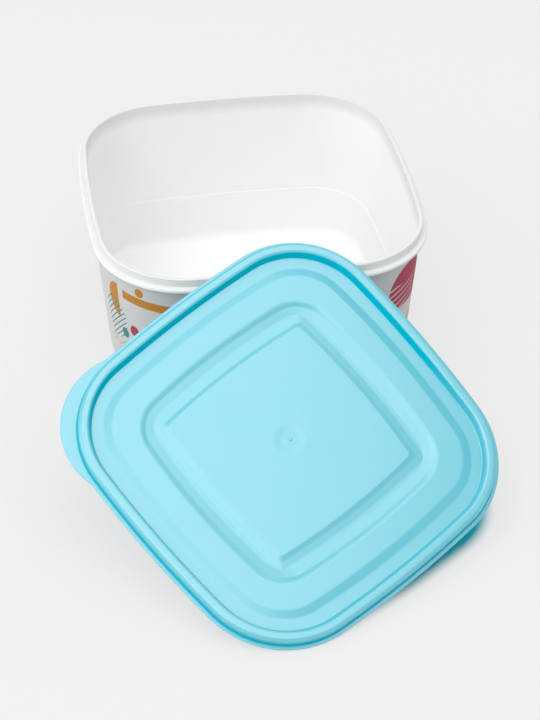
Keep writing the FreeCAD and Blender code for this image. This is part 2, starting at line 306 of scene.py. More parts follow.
def rounded(corners: list[np.ndarray]) -> np.ndarray:
    """A section with its corners rounded.

    Each rounding is a conic between two points on the section's runs, weighted by the cosine
    of half the turn, which is a circle's arc where the runs are straight. A run longer than
    1.2 mm gets a station close to each end, so that shading stays flat between them.

    Args:
        corners: The section's corner stations, first to last.

    Returns:
        Rows of stations.
    """
    table = np.array(corners)
    flat = table[:, [0, 3]]
    rows = [table[:1]]
    steps = np.linspace(0.0, 1.0, Sampling.ROUND.value)[:, None]
    for index in range(1, len(table) - 1):
        before, here, after = table[index - 1], table[index], table[index + 1]
        back, ahead = flat[index - 1] - flat[index], flat[index + 1] - flat[index]
        long_back, long_ahead = np.linalg.norm(back), np.linalg.norm(ahead)
        cosine = np.clip(-(back @ ahead) / (long_back * long_ahead), -1.0, 1.0)
        turn = math.acos(cosine)
        cut = min(here[5] * math.tan(turn / 2), 0.49 * long_back, 0.49 * long_ahead)
        if here[5] <= 0 or cut < 1e-4:
            rows.append(here[None, :])
            continue
        enter = here + (before - here) * (cut / long_back)
        leave = here + (after - here) * (cut / long_ahead)
        weight = math.cos(turn / 2)
        share = (1 - steps) ** 2, 2 * weight * steps * (1 - steps), steps**2
        rows.append((share[0] * enter + share[1] * here + share[2] * leave) / sum(share))
    rows.append(table[-1:])
    return supported(np.concatenate(rows))


def supported(stations: np.ndarray) -> np.ndarray:
    """Stations with two more on each long run, near its ends.

    Args:
        stations: Rows of stations.

    Returns:
        Rows of stations.
    """
    runs = np.hypot(np.diff(stations[:, 0]), np.diff(stations[:, 3]))
    long = np.flatnonzero(runs > 1.2)
    shares = np.minimum(0.12 / runs[long], 0.2)[:, None]
    start, end = stations[long], stations[long + 1]
    near = start + (end - start) * shares
    far = end + (start - end) * shares
    extra = np.stack((near, far), axis=1).reshape(-1, stations.shape[1])
    return np.insert(stations, np.repeat(long + 1, 2), extra, axis=0)


@dataclass(frozen=True)
class Skin:
    """A closed skin of rings, shut by a fan at each end.

    Attributes:
        name: Name of the object and its mesh.
        grid: Points of shape (rings, around, 3), in metres.
        depth: For each point, the share of painted shade, a darker colour without gloss, that it takes,
            from 0 to 1.
    """

    name: str
    grid: np.ndarray
    depth: np.ndarray

    def build(self) -> bpy.types.Object:
        """Make the object at the origin, with its wrap-round map and smooth shading.

        The map's first number is the distance round the ring of the piece's outer wall, and its
        second is the station's place along the section.

        Returns:
            The object, linked to the scene.
        """
        rows, around, _ = self.grid.shape
        ends = self.grid[[0, -1]].mean(axis=1)
        points = np.concatenate((self.grid.reshape(-1, 3), ends))
        across = np.arange(around)
        nxt = (across + 1) % around
        down = np.arange(rows - 1)[:, None] * around
        quads = np.stack(
            (down + across, down + nxt, down + around + nxt, down + around + across), axis=2
        ).reshape(-1, 4)
        first, last = rows * around, rows * around + 1
        top = (rows - 1) * around
        start_fan = np.stack((np.full(around, first), nxt, across), axis=1)
        end_fan = np.stack((np.full(around, last), top + across, top + nxt), axis=1)
        mesh = bpy.data.meshes.new(self.name)
        mesh.vertices.add(len(points))
        mesh.vertices.foreach_set("co", points.ravel())
        loops = np.concatenate((quads.ravel(), start_fan.ravel(), end_fan.ravel()))
        sizes = np.concatenate((np.full(len(quads), 4), np.full(2 * around, 3)))
        mesh.loops.add(len(loops))
        mesh.loops.foreach_set("vertex_index", loops)
        mesh.polygons.add(len(sizes))
        mesh.polygons.foreach_set("loop_start", np.concatenate(([0], np.cumsum(sizes)[:-1])))
        mesh.update(calc_edges=True)
        mesh.validate()
        mesh.shade_smooth()
        self._wrap(mesh, quads)
        # Painted shade: each point's share of a darker colour without gloss.
        painted_shade_mask = mesh.attributes.new("painted_shade_mask", "FLOAT", "POINT")
        painted_shade_mask.data.foreach_set("value", np.append(self.depth, (0.0, 0.0)))
        piece = bpy.data.objects.new(self.name, mesh)
        bpy.context.scene.collection.objects.link(piece)
        return piece

    def _wrap(self, mesh: bpy.types.Mesh, quads: np.ndarray) -> None:
        """Write the wrap-round map: arc length round the widest ring, and height.

        Args:
            mesh: The mesh to write to.
            quads: Corner indices of the quads, in loop order.
        """
        rows, around, _ = self.grid.shape
        widest = self.grid[np.argmax(self.grid[:, 0, 0])]
        steps = np.linalg.norm(np.roll(widest, -1, axis=0) - widest, axis=1)
        length = np.concatenate(([0.0], np.cumsum(steps)))
        across = np.arange(around)
        turn = np.stack((across, across + 1, across + 1, across), axis=1)
        u = length[np.tile(turn, (rows - 1, 1))]
        outside = np.arange(rows - 1) < np.argmax(self.grid[:, 0, 0])
        v = self.grid.reshape(-1, 3)[quads][:, :, 2] * np.repeat(outside, around)[:, None]
        flat = np.zeros((len(mesh.loops), 2))
        flat[: u.size, 0] = u.ravel()
        flat[: v.size, 1] = v.ravel()
        mesh.uv_layers.new(name="wrap").data.foreach_set("uv", flat.ravel())


@dataclass(frozen=True)
class Tub:
    """The tub's sizes, in mm."""

    height: float = 86.0
    rim: Outline = Outline(80.0, 41.6, 4.05)
    base: Outline = Outline(72.3, 26.5, 4.05)
    lip_height: float = 4.4
    lip_thickness: float = 1.8
    lip_edge: float = 0.5
    lip_foot: float = 0.35
    ledge_overhang: float = 2.5
    ledge_thickness: float = 2.7
    ledge_top_edge: float = 0.9
    ledge_bottom_edge: float = 1.2
    wall_inset: float = 0.6
    wall: float = 1.6
    floor: float = 1.8
    heel: float = 3.0
    floor_corner: float = 5.0
    step_depth: float = 56.0
    step_width: float = 0.25

    def section(self) -> np.ndarray:
        """The wall's section, from the middle of the underside to the middle of the floor.

        Returns:
            Rows of stations.
        """
        swing = self.base.swing
        top = self.height - self.lip_height
        under = top - self.ledge_thickness
        wall_top = self.rim.offset(-self.wall_inset)
        ledge = self.rim.offset(self.ledge_overhang)
        mouth = self.rim.offset(-self.lip_thickness)
        step = self.height - self.step_depth
        above = self.base.toward(wall_top, step / under).offset(-self.wall)
        below = above.offset(-self.step_width)
        return rounded(
            [
                circle_at(0.5, 0.0, swing),
                self.base.offset(-16.0).at(0.0),
                self.base.at(0.0, self.heel),
                wall_top.at(under, 0.4),
                ledge.at(under, self.ledge_bottom_edge),
                ledge.at(top, self.ledge_top_edge),
                self.rim.at(top, self.lip_foot),
                self.rim.at(self.height, self.lip_edge),
                mouth.at(self.height, self.lip_edge),
                above.at(step + 0.12, 0.1),
                below.at(step - 0.12, 0.1),
                self.base.offset(-self.wall).at(self.floor, self.floor_corner),
                self.base.offset(-18.0).at(self.floor),
                circle_at(0.5, self.floor, swing),
            ]
        )


@dataclass(frozen=True)
class Lid:
    """The lid's sizes, in mm; heights are from the flange's top face."""

    rim: Outline = Outline(80.0, 41.6, 4.05)
    clearance: float = 0.2
    skin: float = 1.2
    bead_wall: float = 1.15
    bead_height: float = 5.2
    bead_lean: float = 0.5
    bead_outer: float = 1.9
    bead_inner: float = 1.5
    bead_foot: float = 0.5
    channel: float = 2.8
    channel_roof: float = 1.2
    flange_width: float = 1.9
    flange: float = 1.0
    flange_edge: float = 0.35
    panel_height: float = 1.3
    panel_inset: float = 6.25
    panel_lean: float = 1.3
    plug: float = 1.2
    step_inset: float = 11.9
    step_run: float = 4.05
    step_rise: float = 1.0
    step_corner: float = 27.2
    step_swing: float = 6.2
    moat_inset: float = 10.7
    moat_corner: float = 18.0
    moat_run: float = 6.3
    moat_bed_corner: float = 11.0
    moat_bed_width: float = 2.0
    moat_depth: float = 1.6
    pad_run: float = 5.2
    pad_corner: float = 2.0
    pad_rise: float = 1.4
    dish_radius: float = 7.6
    dish_slope: float = 3.2
    dish_depth: float = 0.22
    nub_radius: float = 0.7
    nub_height: float = 0.35
    tab_inset: float = 0.25
    tab_radius: float = 35.0
    tab_blend: float = 14.0
    # Painted shade on the lid: the height over the floor, in mm, where it starts on the bead's inner
    # wall, the height over which it comes in, and the zone and strength of it on the step.
    groove_shade_low: float = 40.0
    groove_shade_fade: float = 20.0
    step_zone: float = 8.0
    step_shade: float = 0.3

    def bead(self) -> Outline:
        """Outline of the bead's foot.

        Returns:
            The outline.
        """
        return self.rim.offset(self.clearance + self.bead_wall)

    def tab(self) -> PullTab:
        """The pull tab on the flange.

        Returns:
            The tab.
        """
        half_width = self.bead().half_width + self.flange_width
        return PullTab(half_width, self.tab_inset, self.tab_radius, self.tab_blend)

    def steps(self) -> tuple[Outline, ...]:
        """Outlines of the panel's steps, each inside the one before.

        Returns:
            The step's foot and top, the moat's edge and bed, and the pad's foot and top.
        """
        swing = self.step_swing
        step_foot = Outline(self.bead().half_width - self.step_inset, self.step_corner, swing)
        step_top = step_foot.offset(-self.step_run)
        moat = Outline(step_top.half_width - self.moat_inset, self.moat_corner, swing)
        bed = Outline(moat.half_width - self.moat_run, self.moat_bed_corner, swing)
        pad_foot = Outline(bed.half_width - self.moat_bed_width, self.pad_corner, swing)
        pad = Outline(pad_foot.half_width - self.pad_run, self.pad_corner, swing)
        return step_foot, step_top, moat, bed, pad_foot, pad

    def upper(self) -> list[np.ndarray]:
        """Stations of the outer face, from the middle to the flange's edge.

        Returns:
            The corner stations.
        """
        bead = self.bead()
        swing = self.step_swing
        step_foot, step_top, moat, bed, pad_foot, pad = self.steps()
        panel = bead.offset(-self.panel_inset)
        field = self.panel_height + self.step_rise
        low = field - self.moat_depth
        crown = low + self.pad_rise
        dish = crown - self.dish_depth
        flange = bead.offset(self.flange_width)
        return [
            circle_at(0.08, dish + self.nub_height, swing),
            circle_at(self.nub_radius, dish + self.nub_height, swing, 0.25),
            circle_at(self.nub_radius + 0.15, dish, swing, 0.15),
            circle_at(self.dish_radius - self.dish_slope, dish, swing, 6.0),
            circle_at(self.dish_radius, crown, swing, 6.0),
            pad.at(crown, 1.5),
            pad.toward(pad_foot, 0.4).at(crown - 0.65 * self.pad_rise, 3.0),
            pad_foot.at(low, 6.0),
            bed.at(low, 6.0),
            moat.toward(bed, 0.35).at(field - 0.6 * self.moat_depth, 4.0),
            moat.at(field, 5.0),
            step_top.at(field, 5.0),
            step_foot.at(self.panel_height, 5.0),
            panel.at(self.panel_height, self.bead_foot),
            panel.offset(self.panel_lean).at(self.bead_height, self.bead_inner),
            bead.offset(-self.bead_lean).at(self.bead_height, self.bead_outer),
            bead.at(0.0, 0.3),
            bead.offset(0.5).at(0.0),
            flange.offset(-0.8).at(0.0, 0.0, 1.0),
            flange.at(0.0, self.flange_edge, 1.0),
        ]

    def lower(self) -> list[np.ndarray]:
        """Stations of the underside, from the flange's edge to the middle.

        Returns:
            The corner stations.
        """
        bead = self.bead()
        swing = self.step_swing
        step_foot, step_top, moat, bed, pad_foot, pad = self.steps()
        panel = bead.offset(-self.panel_inset)
        channel = self.rim.offset(self.clearance)
        roof = self.bead_height - self.skin
        ceiling = self.panel_height - self.skin
        field = ceiling + self.step_rise
        low = field - self.moat_depth
        crown = low + self.pad_rise
        flange = bead.offset(self.flange_width)
        return [
            flange.at(-self.flange, self.flange_edge, 1.0),
            flange.offset(-0.8).at(-self.flange, 0.0, 1.0),
            channel.at(-self.flange, 0.2),
            channel.at(roof, self.channel_roof),
            channel.offset(-self.channel).at(roof, 0.4),
            channel.offset(-self.channel).at(-self.flange, 0.3),
            panel.offset(-self.plug).at(-self.flange, 0.3),
            panel.offset(-self.plug).at(ceiling, 0.3),
            step_foot.at(ceiling, 5.0),
            step_top.at(field, 5.0),
            moat.at(field, 9.0),
            bed.at(low, 5.0),
            pad_foot.at(low, 5.0),
            pad.at(crown, 2.5),
            circle_at(6.0, crown, swing),
            circle_at(0.5, crown, swing),
        ]

    def section(self) -> np.ndarray:
        """The whole section, from the middle of the outer face to the middle underneath.

        Returns:
            Rows of stations.
        """
        return rounded(self.upper() + self.lower())

    def depth(self, stations: np.ndarray, points: np.ndarray) -> np.ndarray:
        """How strongly points take the painted shade: a darker colour without gloss.

        The crease outside the bead takes it fully as painted shade, and the step by a share that
        peaks half way up it. The bead's inner wall takes it above a height over the floor only. That
        is painted shade for the lid as it leans here, and it would not suit a lid that lies flat.

        Args:
            stations: Rows of stations.
            points: The points themselves, of shape (m, n, 3), in metres.

        Returns:
            Shares from 0 to 1, of shape (m, n).
        """
        bead = self.bead().half_width
        panel = bead - self.panel_inset
        width, height = stations[:, 0], stations[:, 3]
        inner = (width > panel - 0.3) & (width < panel + self.panel_lean)
        inner &= (height > 0.0) & (height < self.bead_height - 0.6)
        crease = (abs(width - bead) < 0.25) & (abs(height - 0.2) < 0.3)
        above = (points[:, :, 2] / MM - self.groove_shade_low) / self.groove_shade_fade
        share = np.clip((height - self.panel_height) / self.step_rise, 0.0, 1.0)
        on_step = width > bead - self.step_inset - self.step_zone
        slope = self.step_shade * 4.0 * share * (1.0 - share) * on_step
        shade = np.maximum(inner[:, None] * np.clip(above, 0.0, 1.0), crease[:, None])
        return np.maximum(shade, slope[:, None])


class Field:
    """A number that varies over a surface: one output of a material's node tree."""

    def __init__(self, tree: bpy.types.NodeTree, socket: bpy.types.NodeSocket) -> None:
        self.tree = tree
        self.socket = socket

    def _math(self, operation: str, *others: "Field | float") -> "Field":
        """A math node on this field and others.

        Args:
            operation: The node's operation.
            *others: Its second and third inputs.

        Returns:
            The result.
        """
        node = self.tree.nodes.new("ShaderNodeMath")
        node.operation = operation
        self.tree.links.new(self.socket, node.inputs[0])
        for index, other in enumerate(others, start=1):
            if isinstance(other, Field):
                self.tree.links.new(other.socket, node.inputs[index])
            else:
                node.inputs[index].default_value = other
        return Field(self.tree, node.outputs[0])

    def __add__(self, other: "Field | float") -> "Field":
        return self._math("ADD", other)

    def __sub__(self, other: "Field | float") -> "Field":
        return self._math("SUBTRACT", other)

    def __mul__(self, other: "Field | float") -> "Field":
        return self._math("MULTIPLY", other)

    def __abs__(self) -> "Field":
        return self._math("ABSOLUTE")

    def __mod__(self, period: float) -> "Field":
        return self._math("FLOORED_MODULO", period)

    def both(self, other: "Field | float") -> "Field":
        """The smaller of two fields: where both shapes are."""
        return self._math("MINIMUM", other)

    def wave(self) -> "Field":
        """The sine of the field."""
        return self._math("SINE")

    def length(self, other: "Field") -> "Field":
        """Distance from the origin of the point that two fields give."""
        return (self * self + other * other)._math("SQRT")

    def below(self, limit: "Field | float", edge: float = 0.12) -> "Field":
        """1 where the field is below a limit, 0 above, with a narrow soft edge.

        Args:
            limit: The limit.
            edge: Width of the soft edge, in the field's own unit.

        Returns:
            The shape.
        """
        node = self.tree.nodes.new("ShaderNodeMapRange")
        rise = self - limit
        self.tree.links.new(rise.socket, node.inputs["Value"])
        node.inputs["From Min"].default_value = -edge / 2
        node.inputs["From Max"].default_value = edge / 2
        node.inputs["To Min"].default_value = 1.0
        node.inputs["To Max"].default_value = 0.0
        return Field(self.tree, node.outputs["Result"])


class Paper:
    """A flat place to draw on: distances along and up, in mm."""

    def __init__(self, along: Field, up: Field) -> None:
        self.along = along
        self.up = up

    def moved(self, along: float, up: float, turn: float = 0.0) -> "Paper":
        """The same place with its origin elsewhere, turned by an angle in degrees.

        Args:
            along: The new origin's distance along.
            up: Its height.
            turn: How far the new axes turn.

        Returns:
            The moved place.
        """
        x, y = self.along - along, self.up - up
        if not turn:
            return Paper(x, y)
        c, s = math.cos(math.radians(turn)), math.sin(math.radians(turn))
        return Paper(x * c + y * s, y * c - x * s)

    def disc(self, radius: float) -> Field:
        """A disc about the origin."""
        return self.along.length(self.up).below(radius)

    def ring(self, radius: float, width: float) -> Field:
        """A ring about the origin, with its middle line at a radius."""
        return abs(self.along.length(self.up) - radius).below(width / 2)

    def bar(self, half_length: float, half_width: float) -> Field:
        """A straight bar about the origin with square ends."""
        return abs(self.along).below(half_length).both(abs(self.up).below(half_width))

    def stripes(self, period: float, width: float) -> Field:
        """Level stripes that repeat upward."""
        return (self.up % period).below(width)

    def ripple(self, height: float, length: float, width: float) -> Field:
        """A line that ripples along its length."""
        return abs(self.up - (self.along * (2 * math.pi / length)).wave() * height).below(width / 2)


class Ink(Enum):
    """The print's colours, as linear red, green and blue."""

    OCHRE = (0.52, 0.225, 0.030)
    TEAL = (0.075, 0.235, 0.215)
    CRIMSON = (0.42, 0.045, 0.085)
    NAVY = (0.045, 0.045, 0.16)


@dataclass(frozen=True)
class Finish:
    """A moulded plastic of low gloss.

    Attributes:
        name: The material's name.
        colour: Linear red, green and blue.
        roughness: Roughness of the surface.
        ior: Index of refraction, which sets the strength of its shine.
        shine: Specular level.
        mottle: How much the colour varies over a fraction of a millimetre.
        grain: Depth of the surface's fine grain, in mm.
        through: Share of the light that passes through the wall.
        groove_shade: Linear colour of the painted shade down in the grooves.
        rim_shade: Share of the colour's strength left above the rim's height, as painted shade on the
            rim.
        rim_shade_height: Height over the floor where that painted shade starts, in mm.
        rim_shade_fade: Height over which it comes in, in mm.
        grain_scale: Cells of the fine grain to a metre.
        cloud_scale: Cells of the broad mottling to a metre.
        cloud_rough: How much the roughness varies with that mottling.
    """

    name: str
    colour: tuple[float, float, float]
    roughness: float
    ior: float
    shine: float
    mottle: float
    grain: float
    through: float
    groove_shade: tuple[float, float, float]
    rim_shade: float
    rim_shade_height: float = 80.0
    rim_shade_fade: float = 6.0
    grain_scale: float = 1100.0
    cloud_scale: float = 60.0
    cloud_rough: float = 0.08

    def material(self) -> bpy.types.Material:
        """Build the material.

        Returns:
            The material, with the node named "Plastic" as its shader.
        """
        material = bpy.data.materials.new(self.name)
        material.use_nodes = True
        tree = material.node_tree
        shader = tree.nodes["Principled BSDF"]
        shader.name = "Plastic"
        shader.inputs["IOR"].default_value = self.ior
        shader.inputs["Specular IOR Level"].default_value = self.shine
        place = tree.nodes.new("ShaderNodeTexCoord")
        fine = self._noise(tree, place, self.grain_scale, 3.0)
        broad = self._noise(tree, place, self.cloud_scale, 2.0)
        tint = (fine - 0.5) * self.mottle + (broad - 0.5) * (self.mottle * 0.5) + 1.0
        # Painted shade: above the rim's height the colour is darkened to the share that is left.
        split = tree.nodes.new("ShaderNodeSeparateXYZ")
        tree.links.new(place.outputs["Object"], split.inputs[0])
        height = Field(tree, split.outputs["Z"])
        low = height.below(self.rim_shade_height * MM, self.rim_shade_fade * MM)
        tint = tint * (low * (1.0 - self.rim_shade) + self.rim_shade)
        # Painted shade: by the mesh's share, the colour turns toward the darker colour of the grooves.
        groove_shade = tree.nodes.new("ShaderNodeAttribute")
        groove_shade.attribute_name = "painted_shade_mask"
        painted_shade_mask = Field(tree, groove_shade.outputs["Fac"])
        ground = tree.nodes.new("ShaderNodeMix")
        ground.data_type = "RGBA"
        ground.inputs["A"].default_value = (*self.colour, 1.0)
        ground.inputs["B"].default_value = (*self.groove_shade, 1.0)
        tree.links.new(painted_shade_mask.socket, ground.inputs["Factor"])
        colour = tree.nodes.new("ShaderNodeVectorMath")
        colour.name = "Ground"
        colour.operation = "SCALE"
        tree.links.new(ground.outputs["Result"], colour.inputs[0])
        tree.links.new(tint.socket, colour.inputs["Scale"])
        tree.links.new(colour.outputs[0], shader.inputs["Base Color"])
        rough = (broad - 0.5) * self.cloud_rough + self.roughness
        tree.links.new(rough.socket, shader.inputs["Roughness"])
        bump = tree.nodes.new("ShaderNodeBump")
        bump.inputs["Distance"].default_value = self.grain * MM
        tree.links.new(fine.socket, bump.inputs["Height"])
        tree.links.new(bump.outputs[0], shader.inputs["Normal"])
        # Painted shade: by the same share, the gloss gives way to a plain diffuse, so that the shade
        # has no shine.
        glossless_shade = tree.nodes.new("ShaderNodeBsdfDiffuse")
        tree.links.new(colour.outputs[0], glossless_shade.inputs["Color"])
        glossless_shade_mix = tree.nodes.new("ShaderNodeMixShader")
        tree.links.new(painted_shade_mask.socket, glossless_shade_mix.inputs[0])
        tree.links.new(shader.outputs[0], glossless_shade_mix.inputs[1])
        tree.links.new(glossless_shade.outputs[0], glossless_shade_mix.inputs[2])
        thin = tree.nodes.new("ShaderNodeBsdfTranslucent")
        thin.inputs["Color"].default_value = (*self.colour, 1.0)
        mix = tree.nodes.new("ShaderNodeMixShader")
        mix.inputs[0].default_value = self.through
        tree.links.new(glossless_shade_mix.outputs[0], mix.inputs[1])
        tree.links.new(thin.outputs[0], mix.inputs[2])
        tree.links.new(mix.outputs[0], tree.nodes["Material Output"].inputs[0])
        return material

    @staticmethod
    def _noise(
        tree: bpy.types.NodeTree, place: bpy.types.Node, scale: float, detail: float
    ) -> Field:
        """Noise over the object.

        Args:
            tree: The material's node tree.
            place: Its coordinate node.
            scale: Cells to a metre.
            detail: How many finer layers are added.

        Returns:
            The noise, about 0.5.
        """
        noise = tree.nodes.new("ShaderNodeTexNoise")
        noise.inputs["Scale"].default_value = scale
        noise.inputs["Detail"].default_value = detail
        tree.links.new(place.outputs["Object"], noise.inputs["Vector"])
        return Field(tree, noise.outputs["Fac"])


@dataclass(frozen=True)
class Print:
    """The shapes printed round the tub, which repeat from corner to corner.

    Attributes:
        perimeter: Length round the tub, in mm.
        start: Distance round the tub where the first corner's shapes are centred, in mm.
        outside_shade: Share of the plastic's brightness left on the outside wall, as painted shade.
    """

    perimeter: float
    start: float
    outside_shade: float

    def apply(self, material: bpy.types.Material) -> None:
        """Draw the print over a material's ground colour.

        Args:
            material: The tub's material.
        """
        tree = material.node_tree
        wrap = tree.nodes.new("ShaderNodeUVMap")
        wrap.uv_map = "wrap"
        split = tree.nodes.new("ShaderNodeSeparateXYZ")
        tree.links.new(wrap.outputs[0], split.inputs[0])
        round_tub = Field(tree, split.outputs[0]) * (1 / MM)
        up = Field(tree, split.outputs[1]) * (1 / MM)
        period = self.perimeter / 2
        first = ((round_tub - (self.start - period / 2)) % period) - period / 2
        second = ((round_tub - self.start) % period) - period / 2
        # Painted shade: the outside wall is darkened to that share of the plastic's brightness; the
        # inside keeps all of it.
        outside_shade = tree.nodes.new("ShaderNodeVectorMath")
        outside_shade.operation = "SCALE"
        tree.links.new(tree.nodes["Ground"].outputs[0], outside_shade.inputs[0])
        inside = up.below(0.5)
        shade = inside * (1.0 - self.outside_shade) + self.outside_shade
        tree.links.new(shade.socket, outside_shade.inputs["Scale"])
        colour = outside_shade.outputs[0]
        for ink, shape in self._shapes(Paper(first, up), Paper(second, up)):
            mix = tree.nodes.new("ShaderNodeMix")
            mix.data_type = "RGBA"
            tree.links.new(shape.socket, mix.inputs["Factor"])
            tree.links.new(colour, mix.inputs["A"])
            mix.inputs["B"].default_value = (*ink.value, 1.0)
            colour = mix.outputs["Result"]
        tree.links.new(colour, tree.nodes["Plastic"].inputs["Base Color"])

    @staticmethod
    def _shapes(gold: Paper, red: Paper) -> list[tuple[Ink, Field]]:
        """The print's shapes, from the lowest layer up.

        Args:
            gold: The place round the corners that carry the golden shapes.
            red: The place round the corners that carry the red ones.

        Returns:
            Pairs of ink and shape.
        """
        hatch = gold.moved(-19.0, 50.0, 38.0)
        leaf = gold.moved(-12.0, 62.0)
        fan = red.moved(4.0, 58.0)
        slits = fan.moved(0.0, 0.0, 12.0).stripes(3.6, 0.9).both((fan.along - 4.0).below(0.0, 40.0))
        comb = fan.up.below(6.0).both(slits)
        half_disc = fan.disc(17.0).both((fan.up * -1.0).below(9.0))
        return [
            (Ink.OCHRE, leaf.disc(10.0).both(leaf.along.below(0.0))),
            (Ink.OCHRE, gold.moved(22.0, 66.5, -3.0).bar(30.0, 2.4)),
            (Ink.OCHRE, gold.moved(4.0, 73.0).disc(2.6)),
            (Ink.TEAL, hatch.disc(12.0).both(hatch.stripes(2.4, 0.7))),
            (Ink.TEAL, gold.moved(-9.0, 44.0).disc(3.0)),
            (Ink.CRIMSON, gold.moved(-1.0, 48.0).disc(3.2)),
            (Ink.CRIMSON, gold.moved(8.0, 44.0).ring(3.0, 1.6)),
            (Ink.NAVY, gold.moved(8.0, 44.0).disc(1.3)),
            (Ink.OCHRE, gold.moved(0.0, 36.0).ripple(1.8, 13.0, 0.6).both(abs(gold.along).below(30.0))),
            (Ink.OCHRE, gold.moved(0.0, 32.5).ripple(1.8, 13.0, 0.6).both(abs(gold.along).below(30.0))),
            (Ink.CRIMSON, half_disc.both(comb * -1.0 + 1.0)),
            (Ink.CRIMSON, red.moved(24.0, 66.0).disc(2.6)),
            (Ink.NAVY, red.moved(-20.0, 47.0).ring(4.0, 1.2)),
            (Ink.OCHRE, red.moved(6.0, 33.0, 24.0).bar(14.0, 1.3)),
            (Ink.TEAL, red.moved(-4.0, 28.0, 24.0).bar(14.0, 0.5)),
        ]


@dataclass(frozen=True)
class Lean:
    """How the lid leans on the rim.

    Attributes:
        spin: Turn in its own plane that puts a corner lowest, in degrees.
        heading: Turn about the vertical, in degrees.
        overhang: How far the upper corner reaches past the rim, up the slope, in mm.
        twist: How far the lid's own weight bends it out of flat where the middle lines of its
            straight sides cross, in mm: outward at its lowest and highest corners, inward at
            the other two.
    """

    spin: float = 28.5
    heading: float = 4.8
    overhang: float = 16.0
    twist: float = 6.3

    def bent(self, points: np.ndarray, lid: Lid) -> np.ndarray:
        """The lid's points with the twist: each rises by twist times x times y, over width squared.

        Args:
            points: Points in the lid's own axes, of shape (m, n, 3), in mm.
            lid: The lid.

        Returns:
            The bent points.
        """
        half = lid.bead().half_width + lid.flange_width
        rise = self.twist * points[..., 0] * points[..., 1] / half**2
        return np.dstack((points[..., 0], points[..., 1], points[..., 2] + rise))

    def rotation(self, lid: Lid, tub: Tub) -> np.ndarray:
        """The turn from the lid's own axes to the tub's.

        The lean is the angle whose sine is the rim's height over the length of lid below it.

        Args:
            lid: The lid.
            tub: The tub.

        Returns:
            A 3 by 3 matrix.
        """
        flange = lid.bead().offset(lid.flange_width)
        _, centre = side_and_centre(flange.at(0.0)[None, :])
        up = math.radians(90.0 - self.spin)
        half = centre[0] * (math.cos(up) + math.sin(up)) + flange.corner_radius
        lean = math.degrees(math.asin(tub.height / (2 * half - self.overhang)))
        turns = ((self.heading, "Z"), (lean, "X"), (self.spin, "Z"))
        whole = Matrix.Identity(3)
        for angle, axis in turns:
            whole = whole @ Matrix.Rotation(math.radians(angle), 3, axis)
        return np.array(whole)


def seat(points: np.ndarray, node: str) -> np.ndarray:
    """Points shifted so that the middle of their box is the middle of a frame node's box.

    Args:
        points: Points of shape (m, n, 3), in metres.
        node: The node.

    Returns:
        The shifted points.
    """
    low, high = (np.array(corner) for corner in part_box(node))
    flat = points.reshape(-1, 3)
    return points + (low + high) / 2 - (flat.min(axis=0) + flat.max(axis=0)) / 2


def place(piece: bpy.types.Object, node: str, material: bpy.types.Material) -> None:
    """Tie a piece to the frame in place of a node, and give it its finish.

    Args:
        piece: The piece.
        node: The node that it replaces.
        material: Its finish.
    """
    piece.data.materials.append(material)
    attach(piece, "root")
    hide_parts(node)


